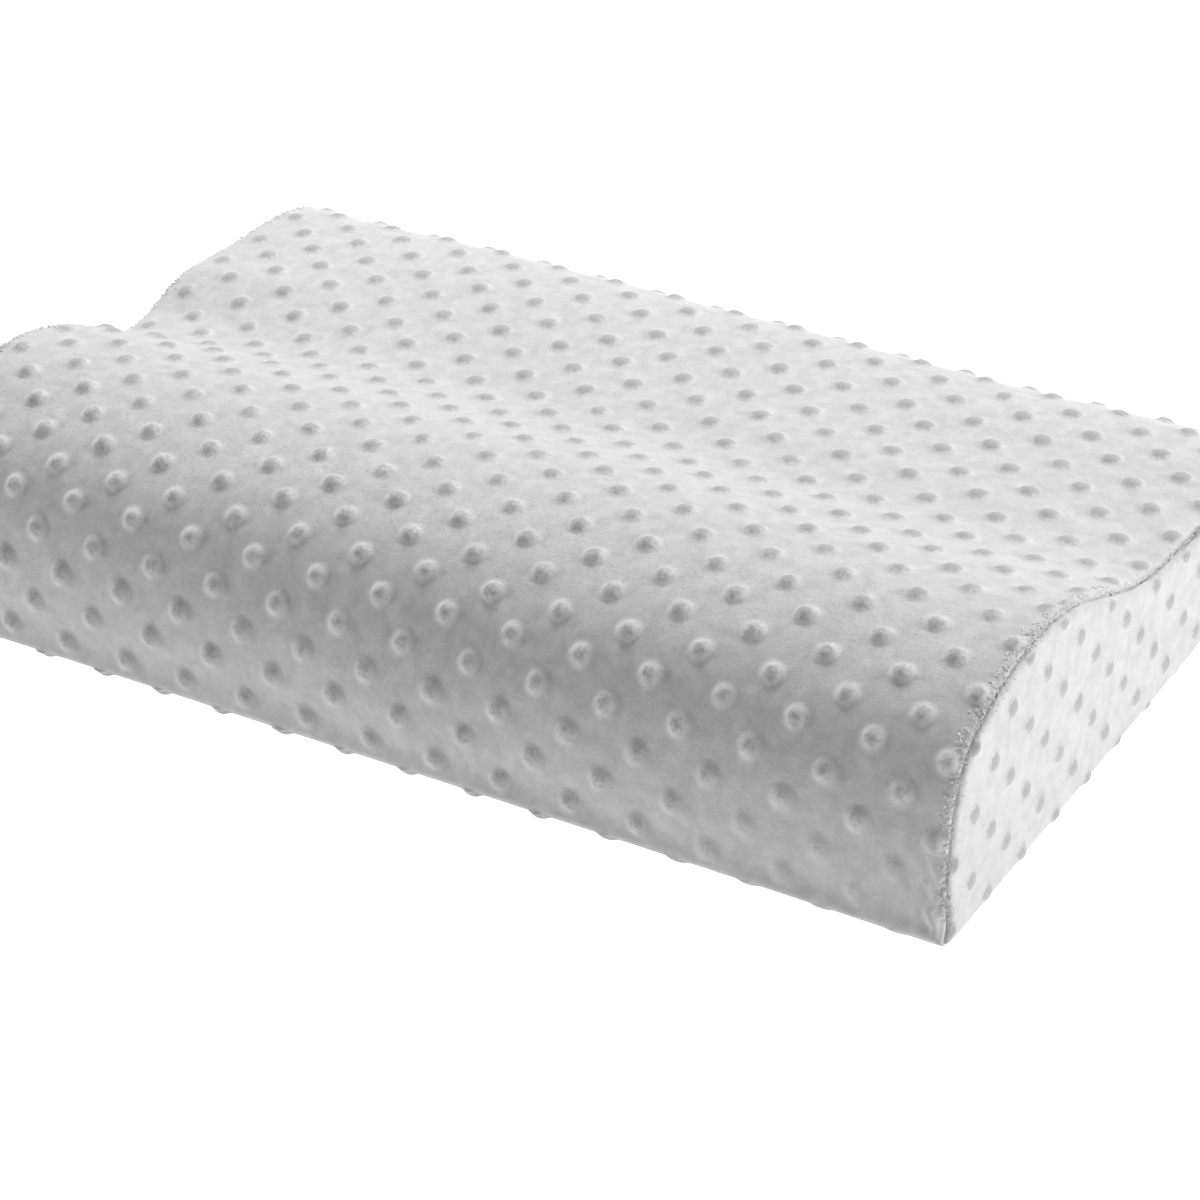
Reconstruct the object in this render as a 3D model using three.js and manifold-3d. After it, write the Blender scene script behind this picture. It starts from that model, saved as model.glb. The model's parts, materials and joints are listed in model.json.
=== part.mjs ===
// Contour pillow: a moulded foam core in a sewn liner, inside a zipped velour cover.
// Millimetres, +Z up. X runs along the length, the high lobe faces -Y, the low lobe and zip face +Y.
// The origin is at the middle of the underside.
import * as THREE from "three";
import { mergeVertices } from "three/addons/utils/BufferGeometryUtils.js";
import Module from "manifold-3d";

const wasm = await Module();
wasm.setup();

// The covered pillow
const pillowLength = 500;
const pillowDepth = 300;
const frontLobeHeight = 94;
const frontLobeRun = 76; // front face to the top of the high lobe
const shoulderHeight = 73; // where the front face turns into the top
const shoulderSet = 15; // how far back the shoulder stands from the front face
const faceBulgeHeight = 24; // where the front face stands furthest out
const valleyHeight = 62;
const backLobeHeight = 67;
const backLobeRun = 50; // back face to the top of the low lobe
const valleyRun = 60; // top of the low lobe to the lowest line of the valley
const frontBaseEdge = 10; // how far the flat underside stands in from the front face
const backBaseEdge = 14;

// Fabric, thread and the clearance between neighbouring pieces
const coverThickness = 2;
const linerThickness = 0.8;
const coverThread = 1;
const linerThread = 0.8;
const layerGap = 0.3;
const seamTurn = 5; // how far up the round front edge the underside seam lies

// Zip
const zipHeight = 32;
const zipOpening = 440;
const mouthClear = 0.6; // folded edge of the cover to the slider
const coilLength = 426;
const coilWidth = 1.9; // one side of the chain
const coilThickness = 1.8;
const tapeWidth = 14;
const tapeThickness = 0.6;
const tapeTail = 12; // tape beyond the opening at each end
const stopLength = 3;
const stitchSet = 2.2; // folded edge to the row of stitches
const stitchWidth = 0.8;
const stitchThickness = 0.6;
const tackWidth = 2;

// Slider and pull
const sliderLength = 12;
const sliderFlare = 1.2; // how much wider the shoulders are than the tail
const wingThickness = 1;
const flangeWidth = 0.9;
const postWidth = 0.9;
const postLength = 3;
const bridgeLength = 7.4;
const bridgeWidth = 1.8;
const bridgeStrap = 1;
const pullLength = 26;
const pullWidth = 6.4;
const pullTipWidth = 5;
const pullThickness = 1.2;
const pullWindow = 5.4;
const pullEye = 2.2; // hole near the tip
const pullClear = 0.35;

// Care label, left blank
const labelWidth = 30;
const labelDrop = 19;
const labelThickness = 0.4;
const labelFromEnd = 90; // left end of the pillow to the middle of the label

// Places worked out from the sizes above. The zip is placed on the middle plane of its tape.
const halfLength = pillowLength / 2;
const coilFace = tapeThickness / 2 + layerGap;
const wingFace = coilFace + coilThickness + layerGap;
const pullAxis = wingFace + wingThickness + pullClear + pullThickness / 2;
const bridgeUnder = pullAxis + pullThickness / 2 + pullClear;
const zipProud = bridgeUnder + bridgeStrap;
const coverFace = coilFace + coverThickness;
const zipStandOut = zipProud - coverFace; // how far the slider stands out from the back face
const frontY = -(pillowDepth + zipStandOut) / 2;
const backY = frontY + pillowDepth;
const tapeY = backY - coverFace;
const bandHalf = tapeWidth + 2; // the back face is flat over the tapes
const zipRoom = coilFace + wingThickness + layerGap + coverFace - coverThickness - layerGap;
const seamGap = coverThread + 2 * layerGap;
const linerInset = coverThickness + layerGap;
const foamInset = linerInset + linerThickness + layerGap;
const coverEndX = halfLength - coverThickness;
const linerEndX = coverEndX - layerGap - linerThickness;
const coilEdge = postWidth / 2 + layerGap;
const sliderTailWidth = 2 * (coilEdge + coilWidth + layerGap + flangeWidth);
const sliderWidth = sliderTailWidth + sliderFlare;
const zipMouth = sliderWidth + 2 * mouthClear; // clear height between the folded edges
const sliderRestX = coilLength / 2 - sliderLength / 2 - layerGap;

const velour = { color: 0xd9d9d9, roughness: 0.95, metalness: 0 };
const jersey = { color: 0xf1f0ec, roughness: 0.9, metalness: 0 };
const foam = { color: 0xf2ead2, roughness: 1, metalness: 0 };
const thread = { color: 0xcfcfcf, roughness: 0.7, metalness: 0 };
const tapeCloth = { color: 0xe4e4e4, roughness: 0.85, metalness: 0 };
const nylon = { color: 0xe9e9e9, roughness: 0.45, metalness: 0 };
const castMetal = { color: 0xb9bbbe, roughness: 0.3, metalness: 1 };
const satin = { color: 0xfafafa, roughness: 0.5, metalness: 0 };

const pillow = new THREE.Group();
const lengthwise = new THREE.Group(); // its local x, y and z are the pillow's Y, Z and X
lengthwise.quaternion.set(0.5, 0.5, 0.5, 0.5);
const zip = new THREE.Group();
zip.position.set(0, tapeY, zipHeight);
pillow.add(lengthwise, zip);

function addPiece(parent, name, geometry, look, x = 0, y = 0, z = 0) {
  const piece = new THREE.Mesh(geometry, new THREE.MeshStandardMaterial(look));
  piece.name = name;
  piece.position.set(x, y, z);
  parent.add(piece);
}

function toSolid(geometry) {
  const bare = geometry.clone();
  bare.deleteAttribute("normal");
  bare.deleteAttribute("uv");
  const merged = mergeVertices(bare, 1e-4);
  const vertProperties = new Float32Array(merged.attributes.position.array);
  const triVerts = new Uint32Array(merged.index.array);
  return new wasm.Manifold(new wasm.Mesh({ numProp: 3, vertProperties, triVerts }));
}

function toGeometry(solid) {
  const { vertProperties, triVerts } = solid.getMesh();
  const geometry = new THREE.BufferGeometry();
  geometry.setAttribute("position", new THREE.BufferAttribute(vertProperties, 3));
  geometry.setIndex(new THREE.BufferAttribute(triVerts, 1));
  return geometry;
}

// A box from its size and its middle
function block(width, depth, height, x, y, z) {
  return new THREE.BoxGeometry(width, depth, height).translate(x, y, z);
}

// How far each curve's handles reach, as a share of its run
const edgeEase = 0.6; // round lower edges
const faceEase = 0.35; // front face, from its bulge up to the shoulder
const shoulderEase = 0.45; // shoulder up to the high lobe
const waveEase = 0.42; // lobe to valley and valley to lobe
const backEase = 0.65; // low lobe down to the back face

// The section of the covered pillow, round from the zip under the base and back over the top
function sectionPath() {
  const path = new THREE.Path();
  const crestY = frontY + frontLobeRun;
  const backCrestY = backY - backLobeRun;
  const valleyY = backCrestY - valleyRun;
  path.moveTo(backY, zipHeight);
  path.lineTo(backY, zipHeight - bandHalf);
  roundTo(path, backY, zipHeight - bandHalf, backY - backBaseEdge, 0);
  path.lineTo(frontY + frontBaseEdge, 0);
  path.bezierCurveTo(
    frontY + frontBaseEdge * (1 - edgeEase), 0,
    frontY, faceBulgeHeight * (1 - edgeEase),
    frontY, faceBulgeHeight,
  );
  addFrontFace(path, crestY);
  waveTo(path, crestY, frontLobeHeight, valleyY, valleyHeight);
  waveTo(path, valleyY, valleyHeight, backCrestY, backLobeHeight);
  const bandHigh = zipHeight + bandHalf;
  path.bezierCurveTo(
    backCrestY + backLobeRun * backEase, backLobeHeight,
    backY, bandHigh + (backLobeHeight - bandHigh) * backEase,
    backY, bandHigh,
  );
  path.lineTo(backY, zipHeight);
  return path;
}

// Upright at its start, level at its end
function roundTo(path, y0, z0, y1, z1) {
  path.bezierCurveTo(y0, z0 + (z1 - z0) * edgeEase, y1 + (y0 - y1) * (1 - edgeEase), z1, y1, z1);
}

// The face leans back as it rises, turns at the shoulder and runs up to the high lobe
function addFrontFace(path, crestY) {
  const faceRise = shoulderHeight - faceBulgeHeight;
  const topRise = frontLobeHeight - shoulderHeight;
  const topRun = frontLobeRun - shoulderSet;
  path.bezierCurveTo(
    frontY, faceBulgeHeight + faceRise * faceEase,
    frontY + shoulderSet / 2, shoulderHeight - faceRise * (1 - faceEase) / 3,
    frontY + shoulderSet, shoulderHeight,
  );
  path.bezierCurveTo(
    frontY + shoulderSet * 1.5, shoulderHeight + topRise / 2,
    crestY - topRun * shoulderEase, frontLobeHeight,
    crestY, frontLobeHeight,
  );
}

// A level-to-level wave between two heights
function waveTo(path, y0, z0, y1, z1) {
  const handle = (y1 - y0) * waveEase;
  path.bezierCurveTo(y0 + handle, z0, y1 - handle, z1, y1, z1);
}

const section = sectionPath();
const girth = section.getLength();
const underBase = section.getCurveLengths()[2]; // zip to the front end of the flat underside
const frontSeamAt = underBase + seamTurn;

// The point this far along the section, moved in by the inset and kept clear of the zip
function sectionPoint(along, inset) {
  const at = THREE.MathUtils.clamp(along / girth, 0, 1);
  const point = section.getPoint(at);
  const tangent = section.getTangent(at);
  const moved = new THREE.Vector2(point.x - tangent.y * -inset, point.y + tangent.x * -inset);
  if (inset > coverThickness) {
    moved.x = Math.min(moved.x, backY - inset - zipRoom);
  }
  return moved;
}

// Every layer is drawn through the same stations, so that neighbouring layers stay parallel
const stationCount = 144;

function sectionRun(from, to, inset) {
  const points = [sectionPoint(from, inset)];
  for (let i = 0; i <= stationCount; i += 1) {
    const along = (girth * i) / stationCount;
    if (along > from + layerGap && along < to - layerGap) {
      points.push(sectionPoint(along, inset));
    }
  }
  points.push(sectionPoint(to, inset));
  return points;
}

function closedOutline(inset) {
  return sectionRun(0, girth, inset).slice(0, -1);
}

// A plate or a block with the whole section
function sectionPlate(inset, thickness) {
  const shape = new THREE.Shape(closedOutline(inset));
  return new THREE.ExtrudeGeometry(shape, { depth: thickness, bevelEnabled: false });
}

// A band of the section's skin between two places along it
function sectionBand(from, to, inset, thickness, length) {
  const outer = sectionRun(from, to, inset);
  const inner = sectionRun(from, to, inset + thickness).reverse();
  const shape = new THREE.Shape([...outer, ...inner]);
  return new THREE.ExtrudeGeometry(shape, { depth: length, bevelEnabled: false });
}

// A closed loop of the section's skin
function sectionLoop(inset, thickness, length) {
  const reach = 1;
  const inner = sectionPlate(inset + thickness, length + 2 * reach).translate(0, 0, -reach);
  return toGeometry(toSolid(sectionPlate(inset, length)).subtract(toSolid(inner)));
}

function addCore() {
  const length = 2 * (linerEndX - layerGap);
  addPiece(lengthwise, "foam_core", sectionPlate(foamInset, length), foam, 0, 0, -length / 2);
}

function addLiner() {
  const loopX = linerEndX - layerGap - linerThread;
  const wrapX = loopX - layerGap;
  const slit = (linerThread + 2 * layerGap) / 2;
  const wrap = sectionBand(slit, girth - slit, linerInset, linerThickness, 2 * wrapX);
  const seamY = backY - linerInset - zipRoom - linerThickness / 2;
  const closing = new THREE.BoxGeometry(2 * wrapX, linerThickness, linerThread);
  addPiece(lengthwise, "liner_wrap", wrap, jersey, 0, 0, -wrapX);
  addPiece(pillow, "liner_closing_thread", closing, thread, 0, seamY, zipHeight);
  const end = sectionPlate(linerInset, linerThickness);
  const loop = sectionLoop(linerInset, linerThickness, linerThread);
  addPiece(lengthwise, "liner_end_right", end, jersey, 0, 0, linerEndX);
  addPiece(lengthwise, "liner_end_left", end, jersey, 0, 0, -linerEndX - linerThickness);
  addPiece(lengthwise, "liner_end_thread_right", loop, thread, 0, 0, loopX);
  addPiece(lengthwise, "liner_end_thread_left", loop, thread, 0, 0, -loopX - linerThread);
}

// Cuts the mouth of the zip out of a cover panel that lies lengthwise
function cutZipMouth(panel, panelX) {
  const mouth = block(2 * zipMouth, zipMouth, zipOpening, backY, zipHeight, panelX);
  return toGeometry(toSolid(panel).subtract(toSolid(mouth)));
}

function addCover() {
  const loopX = coverEndX - layerGap - coverThread;
  const wrapX = loopX - layerGap;
  const half = seamGap / 2;
  const base = sectionBand(half, frontSeamAt - half, 0, coverThickness, 2 * wrapX);
  const top = sectionBand(frontSeamAt + half, girth - half, 0, coverThickness, 2 * wrapX);
  addPiece(lengthwise, "cover_base_panel", cutZipMouth(base, wrapX), velour, 0, 0, -wrapX);
  addPiece(lengthwise, "cover_top_panel", cutZipMouth(top, wrapX), velour, 0, 0, -wrapX);

  const threadInset = (coverThickness - coverThread) / 2;
  const threadHalf = coverThread / 2;
  const frontThread = sectionBand(
    frontSeamAt - threadHalf, frontSeamAt + threadHalf, threadInset, coverThread, 2 * wrapX,
  );
  addPiece(lengthwise, "front_seam_thread", frontThread, thread, 0, 0, -wrapX);

  const end = sectionPlate(0, coverThickness);
  const loop = sectionLoop(threadInset, coverThread, coverThread);
  addPiece(lengthwise, "cover_end_right", end, velour, 0, 0, coverEndX);
  addPiece(lengthwise, "cover_end_left", end, velour, 0, 0, -coverEndX - coverThickness);
  addPiece(lengthwise, "end_seam_thread_right", loop, thread, 0, 0, loopX);
  addPiece(lengthwise, "end_seam_thread_left", loop, thread, 0, 0, -loopX - coverThread);

  const shortX = zipOpening / 2 + layerGap;
  const short = new THREE.BoxGeometry(wrapX - shortX, coverThread, coverThread);
  const shortMiddle = (wrapX + shortX) / 2;
  const shortY = backY - coverThickness / 2;
  addPiece(pillow, "back_seam_thread_right", short, thread, shortMiddle, shortY, zipHeight);
  addPiece(pillow, "back_seam_thread_left", short, thread, -shortMiddle, shortY, zipHeight);
}

// Zip pieces: local x runs along the zip, y stands out from the back face and z is up
function addTapeSide(side, up) {
  const tapeLength = zipOpening + 2 * tapeTail;
  const tape = new THREE.BoxGeometry(tapeLength, tapeThickness, tapeWidth);
  const coil = new THREE.CapsuleGeometry(coilThickness / 2, coilLength - coilThickness, 3, 10);
  coil.rotateZ(Math.PI / 2).scale(1, 1, coilWidth / coilThickness);
  const coilY = coilFace + coilThickness / 2;
  const coilZ = coilEdge + coilWidth / 2;
  const stop = new THREE.BoxGeometry(stopLength, coilThickness, coilWidth);
  const stopX = coilLength / 2 + layerGap + stopLength / 2;
  const stitch = new THREE.BoxGeometry(zipOpening, stitchThickness, stitchWidth);
  const stitchY = coverFace + layerGap + stitchThickness / 2;
  const stitchZ = zipMouth / 2 + stitchSet;
  addPiece(zip, `zip_tape_${side}`, tape, tapeCloth, 0, 0, up * (coilEdge + tapeWidth / 2));
  addPiece(zip, `zip_coil_${side}`, coil, nylon, 0, coilY, up * coilZ);
  addPiece(zip, `zip_top_stop_${side}`, stop, castMetal, stopX, coilY, up * coilZ);
  addPiece(zip, `zip_stitch_${side}`, stitch, thread, 0, stitchY, up * stitchZ);
}

function addZipEnds() {
  const coilY = coilFace + coilThickness / 2;
  const bottomX = -coilLength / 2 - layerGap - stopLength / 2;
  const bottomStop = new THREE.BoxGeometry(stopLength, coilThickness, 2 * (coilEdge + coilWidth));
  addPiece(zip, "zip_bottom_stop", bottomStop, castMetal, bottomX, coilY, 0);
  const tack = new THREE.BoxGeometry(tackWidth, stitchThickness, zipMouth + 2 * stitchSet);
  const tackX = zipOpening / 2 + layerGap + tackWidth / 2;
  const tackY = coverFace + layerGap + stitchThickness / 2;
  addPiece(zip, "zip_end_tack_right", tack, thread, tackX, tackY, 0);
  addPiece(zip, "zip_end_tack_left", tack, thread, -tackX, tackY, 0);
}

// A wing of the slider: wide shoulders at the nose, narrower at the tail
function sliderWing(low) {
  const half = sliderLength / 2;
  const shape = new THREE.Shape();
  shape.moveTo(-half, -sliderTailWidth / 2);
  shape.lineTo(half * 0.3, -sliderWidth / 2);
  shape.quadraticCurveTo(half, -sliderWidth / 2, half, -sliderWidth / 6);
  shape.lineTo(half, sliderWidth / 6);
  shape.quadraticCurveTo(half, sliderWidth / 2, half * 0.3, sliderWidth / 2);
  shape.lineTo(-half, sliderTailWidth / 2);
  const settings = { depth: wingThickness, bevelEnabled: false, curveSegments: 5 };
  return new THREE.ExtrudeGeometry(shape, settings).rotateX(Math.PI / 2).translate(0, low + wingThickness, 0);
}

// The strap over the slider that holds the pull's crossbar
function sliderBridge() {
  const foot = wingFace + wingThickness - layerGap;
  const crown = bridgeUnder + bridgeStrap;
  const half = bridgeLength / 2;
  const inside = half - bridgeStrap;
  const shape = new THREE.Shape();
  shape.moveTo(-half, foot);
  shape.lineTo(-half, crown - bridgeStrap);
  shape.quadraticCurveTo(-half, crown, -inside, crown);
  shape.lineTo(inside, crown);
  shape.quadraticCurveTo(half, crown, half, crown - bridgeStrap);
  shape.lineTo(half, foot);
  shape.lineTo(inside, foot);
  shape.lineTo(inside, bridgeUnder);
  shape.lineTo(-inside, bridgeUnder);
  shape.lineTo(-inside, foot);
  const settings = { depth: bridgeWidth, bevelEnabled: false, curveSegments: 4 };
  return new THREE.ExtrudeGeometry(shape, settings).translate(0, 0, -bridgeWidth / 2);
}

function addSlider() {
  const overlap = 0.2; // how far joined blocks reach into each other
  const rearWing = -coilFace - wingThickness;
  let body = toSolid(sliderWing(rearWing)).add(toSolid(sliderWing(wingFace)));
  const postDepth = wingFace + coilFace + 2 * overlap;
  const postX = sliderLength / 2 - postLength / 2;
  const post = block(postLength, postDepth, postWidth, postX, (wingFace - coilFace) / 2, 0);
  body = body.add(toSolid(post));
  const flangeDepth = wingFace - coilFace + overlap;
  const flangeLength = sliderLength * 0.6;
  for (const up of [-1, 1]) {
    const flangeZ = up * (sliderTailWidth / 2 - flangeWidth / 2);
    const flangeY = coilFace + flangeDepth / 2;
    const flangeX = -sliderLength / 2 + flangeLength / 2;
    const flange = block(flangeLength, flangeDepth, flangeWidth, flangeX, flangeY, flangeZ);
    body = body.add(toSolid(flange));
  }
  body = body.add(toSolid(sliderBridge()));
  addPiece(zip, "zip_slider_body", toGeometry(body), castMetal, sliderRestX, 0, 0);
}

// The pull lies back over the closed chain; its crossbar is on its own origin
function addPull() {
  const shape = new THREE.Shape();
  shape.moveTo(0, -pullWidth / 2);
  shape.lineTo(0, pullWidth / 2);
  shape.lineTo(-pullWindow * 1.4, pullWidth / 2);
  shape.lineTo(-pullLength + pullTipWidth / 2, pullTipWidth / 2);
  shape.absarc(-pullLength + pullTipWidth / 2, 0, pullTipWidth / 2, Math.PI / 2, Math.PI * 1.5, false);
  const windowHalf = bridgeWidth / 2 + pullClear;
  const window = new THREE.Path();
  window.moveTo(-pullThickness / 4, -windowHalf);
  window.lineTo(-pullWindow, -windowHalf);
  window.lineTo(-pullWindow, windowHalf);
  window.lineTo(-pullThickness / 4, windowHalf);
  const eye = new THREE.Path();
  eye.absarc(-pullLength + pullTipWidth / 2, 0, pullEye / 2, 0, Math.PI * 2, true);
  shape.holes.push(window, eye);
  const settings = { depth: pullThickness, bevelEnabled: false, curveSegments: 10 };
  const plate = new THREE.ExtrudeGeometry(shape, settings).rotateX(Math.PI / 2);
  plate.translate(0, pullThickness / 2, 0);
  const bar = new THREE.CylinderGeometry(pullThickness / 2, pullThickness / 2, pullWidth, 16);
  bar.rotateX(Math.PI / 2);
  const pull = toSolid(plate).add(toSolid(bar));
  addPiece(zip, "zip_pull_tab", toGeometry(pull), castMetal, sliderRestX, pullAxis, 0);
}

function addCareLabel() {
  const labelX = -halfLength + labelFromEnd;
  const labelY = coverFace + layerGap + labelThickness / 2;
  const labelTop = zipMouth / 2 + stitchSet + stitchWidth / 2 + layerGap;
  const label = new THREE.BoxGeometry(labelWidth, labelThickness, labelDrop);
  addPiece(zip, "care_label", label, satin, labelX, labelY, -labelTop - labelDrop / 2);
}

addCore();
addLiner();
addCover();
addTapeSide("upper", 1);
addTapeSide("lower", -1);
addZipEnds();
addSlider();
addPull();
addCareLabel();

export default pillow;
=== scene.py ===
# Contour pillow in a raised-dot velour cover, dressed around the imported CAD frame
import json
import math
import time
import bmesh
import bpy
import numpy as np
from mathutils import Matrix, Vector
from mathutils.kdtree import KDTree


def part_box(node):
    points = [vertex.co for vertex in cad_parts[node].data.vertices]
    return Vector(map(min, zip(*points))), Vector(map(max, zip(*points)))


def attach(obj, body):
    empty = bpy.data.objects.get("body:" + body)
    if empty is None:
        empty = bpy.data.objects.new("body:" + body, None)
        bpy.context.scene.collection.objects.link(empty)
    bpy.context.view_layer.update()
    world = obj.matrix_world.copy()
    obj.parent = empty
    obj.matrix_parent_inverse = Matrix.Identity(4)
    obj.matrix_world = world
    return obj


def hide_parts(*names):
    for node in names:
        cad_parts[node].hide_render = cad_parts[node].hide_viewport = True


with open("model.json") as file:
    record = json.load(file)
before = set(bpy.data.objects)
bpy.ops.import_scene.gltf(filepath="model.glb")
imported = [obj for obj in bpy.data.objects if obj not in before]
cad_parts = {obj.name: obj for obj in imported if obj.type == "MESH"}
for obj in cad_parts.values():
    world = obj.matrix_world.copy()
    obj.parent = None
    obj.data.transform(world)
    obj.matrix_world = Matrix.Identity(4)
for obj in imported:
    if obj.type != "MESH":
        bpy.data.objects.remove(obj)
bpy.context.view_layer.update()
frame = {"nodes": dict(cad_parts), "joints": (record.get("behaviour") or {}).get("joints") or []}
nodes = frame["nodes"]
startTime = time.time()


def report(*words):
    print(f"[{time.time() - startTime:5.1f} s]", *words)


# Small helpers that every piece uses

def toMesh(name, bm):
    mesh = bpy.data.meshes.new(name)
    bm.to_mesh(mesh)
    bm.free()
    return mesh


def newObject(name, bm):
    obj = bpy.data.objects.new(name, toMesh(name, bm))
    bpy.context.collection.objects.link(obj)
    return obj


def applyModifiers(obj):
    # the evaluated mesh takes the place of the plain one, so no modifier is left
    depsgraph = bpy.context.evaluated_depsgraph_get()
    mesh = bpy.data.meshes.new_from_object(obj.evaluated_get(depsgraph), depsgraph=depsgraph)
    old = obj.data
    obj.modifiers.clear()
    obj.data = mesh
    bpy.data.meshes.remove(old)
    mesh.name = obj.name


def subdivide(obj, levels):
    finer = obj.modifiers.new("finer", "SUBSURF")
    finer.levels = finer.render_levels = levels
    finer.uv_smooth = "NONE"
    applyModifiers(obj)


def standFor(obj, body, node):
    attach(obj, body)
    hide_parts(node)


def shadeSmooth(obj):
    obj.data.polygons.foreach_set("use_smooth", [True] * len(obj.data.polygons))


def readVectors(data, key):
    vectors = np.empty(len(data) * 3)
    data.foreach_get(key, vectors)
    return vectors.reshape(-1, 3)


def writePoints(mesh, points):
    mesh.vertices.foreach_set("co", points.ravel())
    mesh.update()


def readCloth(mesh):
    # each point's place on the flat cloth, in metres
    uv = np.empty(len(mesh.loops) * 2)
    mesh.uv_layers[0].uv.foreach_get("vector", uv)
    index = np.empty(len(mesh.loops), dtype=np.int32)
    mesh.loops.foreach_get("vertex_index", index)
    cloth = np.zeros((len(mesh.vertices), 2))
    cloth[index] = uv.reshape(-1, 2)
    return cloth


def addAttribute(mesh, name, values):
    layer = mesh.attributes.new(name, "FLOAT", "POINT")
    layer.data.foreach_set("value", values.astype(np.float32))


def smoothStep(low, high, x):
    t = np.clip((x - low) / (high - low), 0.0, 1.0)
    return t * t * (3 - 2 * t)


def grey(tone):
    return tone, tone, tone, 1


def nodeMiddle(name):
    low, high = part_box(name)
    return (Vector(low) + Vector(high)) / 2


# The section of the pillow comes from the CAD end plate, and every layer follows it

form = dict(
    lengthCells=81,      # cells along the length
    cell=0.00556,        # wanted cell size round the section
    baseCells=51,        # cells across the underside of an end panel
    cornerDrop=0.030,    # zip down to the lower back corner
    # a hump is its height, its middle across the pillow and its reach
    valley=(0.0055, 0.040, 0.050),       # how far the cover bridges the valley halfway along
    lobe=(0.0020, -0.085, 0.052),        # how far the high lobe is drawn down halfway along
    leftDip=(0.0065, 0.004, 0.024),      # how much deeper the valley starts at the left end
    leftRise=(0.0080, 0.045, 0.028),     # and how much fuller the low lobe's slope is there
    backDrop=0.0090,     # how much lower the low lobe lies at the right end
    backDropFrom=(0.03, 0.09),
    topFrom=(0.045, 0.058),      # heights between which the underside gives way to the top
    floorFrom=(0.002, 0.010),
    footFrom=(-0.118, -0.145),   # the lower front edge stands out fully by the second of these
    footHeight=0.008,    # and draws back in over about this height
    endPower=4,          # how quickly the middle gives way to the ends
    zipBand=0.011,       # held flat on each side of the zip
    cap=0.004,           # a point swells ever less as it nears this
)
# how far inside the section each layer lies: all round, beside the zip, at its ends, off the floor
# and how far its lower front edge stands out, because the cover's is sharper than the foam's
coverLayer = dict(inset=0.0013, zipInset=0.0, endInset=0.0010, baseLift=0.0010, foot=0.0095)
seamLayer = dict(coverLayer, foot=0.0045)
linerLayer = dict(inset=0.0036, zipInset=0.0047, endInset=0.0030, baseLift=0.0025, foot=0.0)
foamLayer = dict(inset=0.0048, zipInset=0.0058, endInset=0.0042, baseLift=0.0037, foot=0.0)

zipLow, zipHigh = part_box("zip_tape_lower"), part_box("zip_tape_upper")
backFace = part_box("cover_base_panel")[1][1]
zipHeight = (zipLow[1][2] + zipHigh[0][2]) / 2
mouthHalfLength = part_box("zip_end_tack_right")[0][0] - 0.0003
stitchRowHeight = nodeMiddle("zip_stitch_upper").z - zipHeight
mouthHalf = stitchRowHeight - 0.0022
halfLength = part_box("cover_end_right")[1][0]
frontHalf = -0.1      # what lies in front of this, seen along the length, is the front


def readOutline():
    # from the zip down, under the base, up the front and back over the top
    plate = nodes["cover_end_right"].data
    ring = {(round(v.co.y, 6), round(v.co.z, 6)) for v in plate.vertices if v.co.x > halfLength - 1e-4}
    heart = (0.0, 0.030)
    start = math.atan2(zipHeight - heart[1], backFace - heart[0]) + 1e-4
    turned = sorted(ring, key=lambda p: (start - math.atan2(p[1] - heart[1], p[0] - heart[0])) % math.tau)
    closed = np.array(turned + turned[:1])
    steps = np.linalg.norm(np.diff(closed, axis=0), axis=1)
    return closed, np.concatenate([[0.0], np.cumsum(steps)])


outline, outlineRun = readOutline()
girth = outlineRun[-1]
girthCells = 2 * round(girth / form["cell"] / 2)
cellLength = 2 * halfLength / form["lengthCells"]
cellGirth = girth / girthCells
dotPitch = 5 * cellLength     # dot to dot along a row
rowStep = 2.5 * cellGirth     # row to row, every second row moved on by half a pitch


def sectionPoint(along):
    return np.interp(along, outlineRun, outline[:, 0]), np.interp(along, outlineRun, outline[:, 1])


def sectionOutward(along):
    y0, z0 = sectionPoint((along - 0.004) % girth)
    y1, z1 = sectionPoint((along + 0.004) % girth)
    run = math.hypot(y1 - y0, z1 - z0)
    return -(z1 - z0) / run, (y1 - y0) / run


frontThread = nodeMiddle("front_seam_thread")
frontSeamStation = round(outlineRun[np.argmin(np.hypot(outline[:, 0] - frontThread.y,
                                                       outline[:, 1] - frontThread.z))] / cellGirth)
frontSeamAlong = frontSeamStation * cellGirth


def stationAlong(station):
    # the stations next to the zip lie on the folded edges of its mouth
    station %= girthCells
    if station == 1:
        return mouthHalf
    if station == girthCells - 1:
        return girth - mouthHalf
    return station * cellGirth


def hump(y, name):
    height, middle, reach = form[name]
    return height * math.exp(-((y - middle) / reach) ** 2)


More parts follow.
